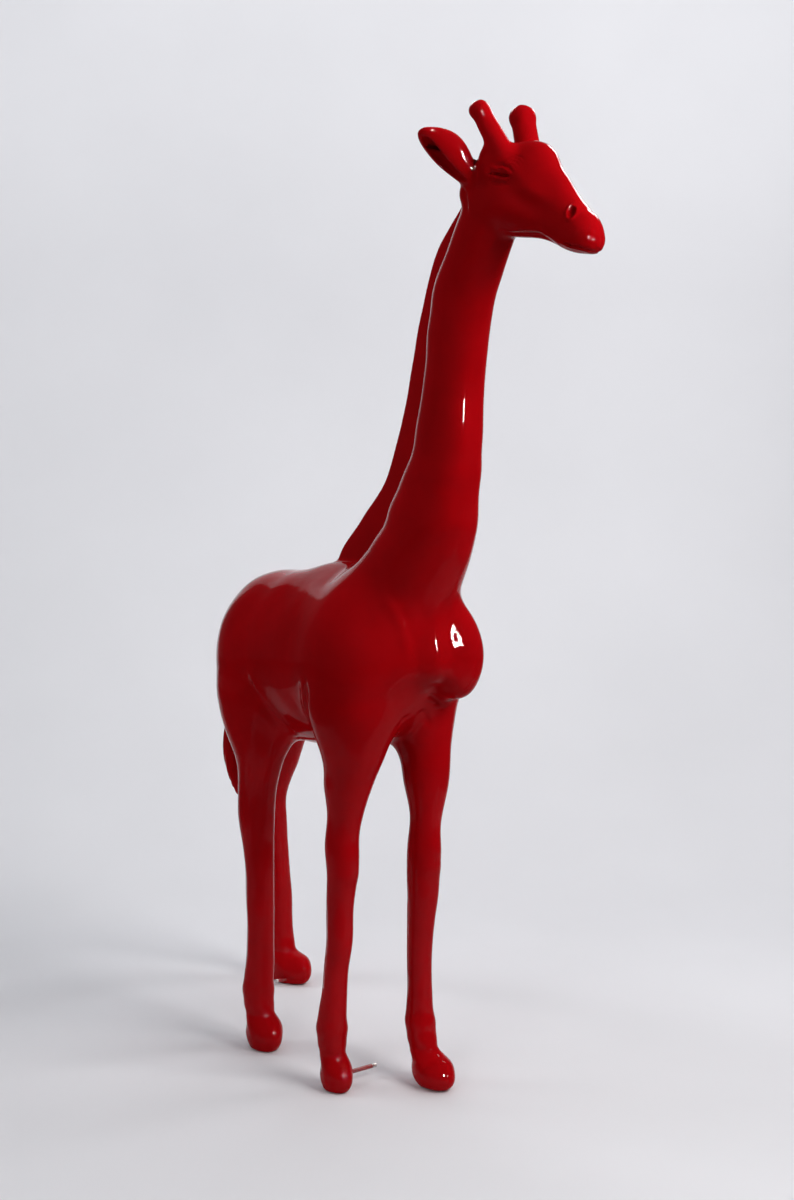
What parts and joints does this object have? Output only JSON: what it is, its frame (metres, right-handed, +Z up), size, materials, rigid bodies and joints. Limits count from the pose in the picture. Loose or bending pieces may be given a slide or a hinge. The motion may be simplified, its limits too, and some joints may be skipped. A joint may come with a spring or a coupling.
{
  "type": "giraffe statue",
  "caption": "Life-size standing giraffe calf statue in gloss red lacquer, with a turned head, long neck and mane ridge, four slender legs, and short tie-down rods at the feet.",
  "frame": {"origin": "middle of the bounding box at floor level, under the belly between the four feet", "axes": "+Z up along the statue's height, -Y the way the body faces, +X the animal's left side"},
  "size_m": [0.502, 1.5063, 2.2702],
  "materials": {
    "shell_lacquer": "deep red clear-coated gloss lacquer over glass-reinforced plastic",
    "cast_lacquer": "deep red clear-coated gloss lacquer over solid cast resin",
    "skeleton_steel": "bare welded mild steel tube",
    "rod_steel": "red overspray on round steel, bare at the bevelled end"
  },
  "bodies": {
    "root": {"torso_shell_left": "shell_lacquer", "torso_shell_right": "shell_lacquer", "neck_shell_left": "shell_lacquer", "neck_shell_right": "shell_lacquer", "head_shell_left": "shell_lacquer", "head_shell_right": "shell_lacquer", "front_right_leg_shell": "shell_lacquer", "front_left_leg_shell": "shell_lacquer", "rear_right_leg_shell": "shell_lacquer", "rear_left_leg_shell": "shell_lacquer", "front_right_hoof": "cast_lacquer", "front_left_hoof": "cast_lacquer", "rear_right_hoof": "cast_lacquer", "rear_left_hoof": "cast_lacquer", "mane_ridge": "cast_lacquer", "ear_left": "cast_lacquer", "ear_right": "cast_lacquer", "horn_left": "cast_lacquer", "horn_right": "cast_lacquer", "tail": "cast_lacquer", "front_right_leg_tube": "skeleton_steel", "front_left_leg_tube": "skeleton_steel", "rear_right_leg_tube": "skeleton_steel", "rear_left_leg_tube": "skeleton_steel", "spine_tube": "skeleton_steel", "shoulder_crossbar": "skeleton_steel", "hip_crossbar": "skeleton_steel", "neck_tube": "skeleton_steel", "front_right_anchor_rod": "rod_steel", "rear_left_anchor_rod": "rod_steel"}
  },
  "joints": []
}
